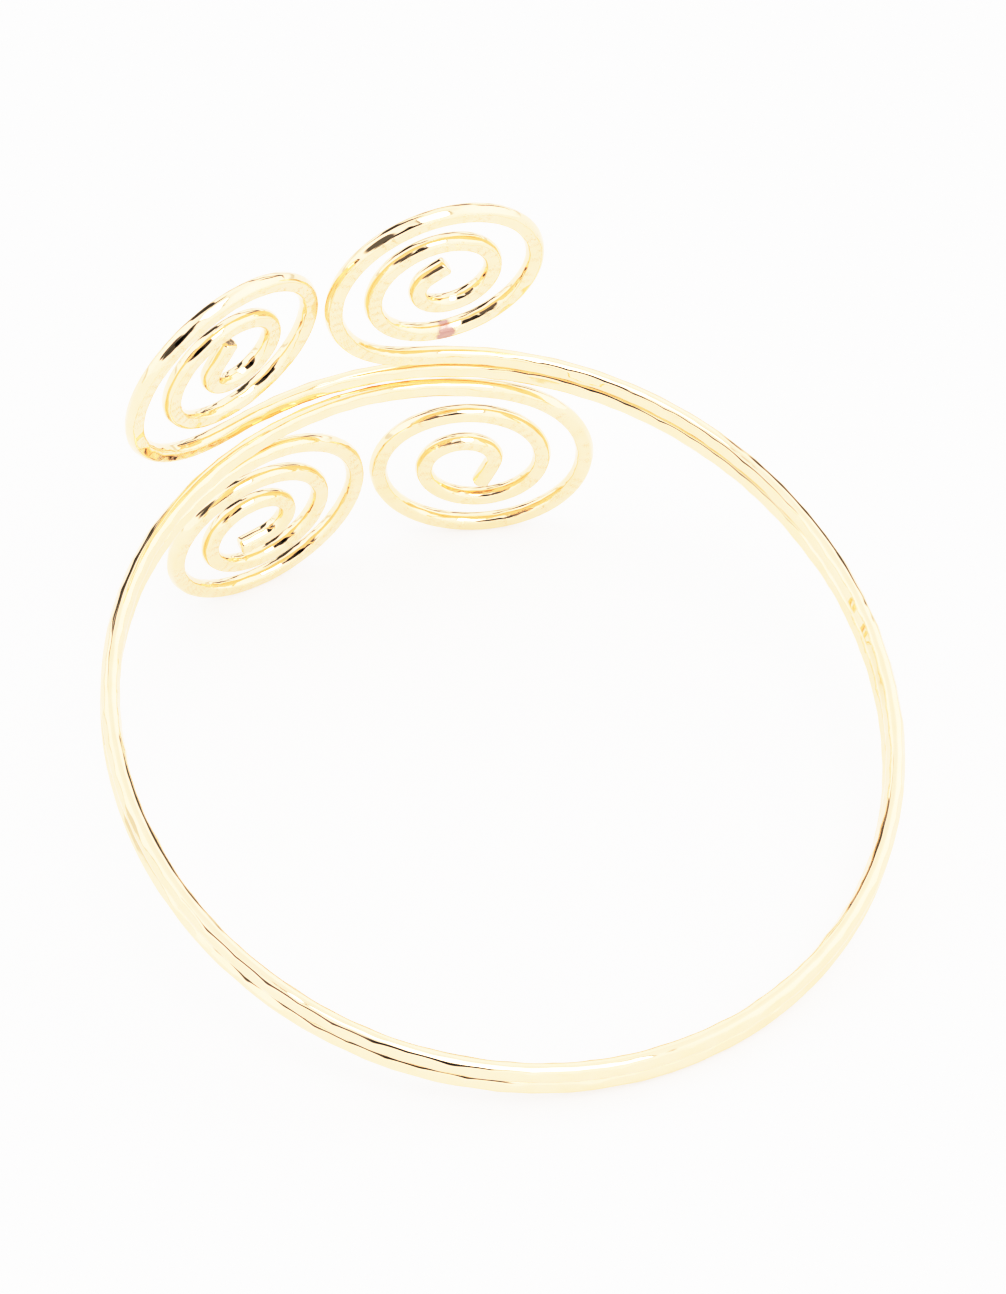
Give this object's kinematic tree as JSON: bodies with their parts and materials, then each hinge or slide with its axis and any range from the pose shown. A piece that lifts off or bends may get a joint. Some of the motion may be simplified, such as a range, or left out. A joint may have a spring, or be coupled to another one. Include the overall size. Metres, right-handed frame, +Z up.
{
  "type": "upper arm cuff",
  "caption": "Open wire cuff for the upper arm: a double hoop of hammered gold-plated wire whose ends curl into flat scrolls above and below the band at the front.",
  "frame": {"origin": "middle of the cuff's box at the height of the surface that it rests on", "axes": "+Z up from the surface; the scrolls stand at -Y, the plain back of the hoop lies at +Y"},
  "size_m": [0.0826, 0.0932, 0.0547],
  "materials": {
    "gold_plate": "polished pale gold plating over hammered brass wire"
  },
  "bodies": {
    "root": {"upper_wire": "gold_plate", "lower_wire": "gold_plate"}
  },
  "joints": []
}
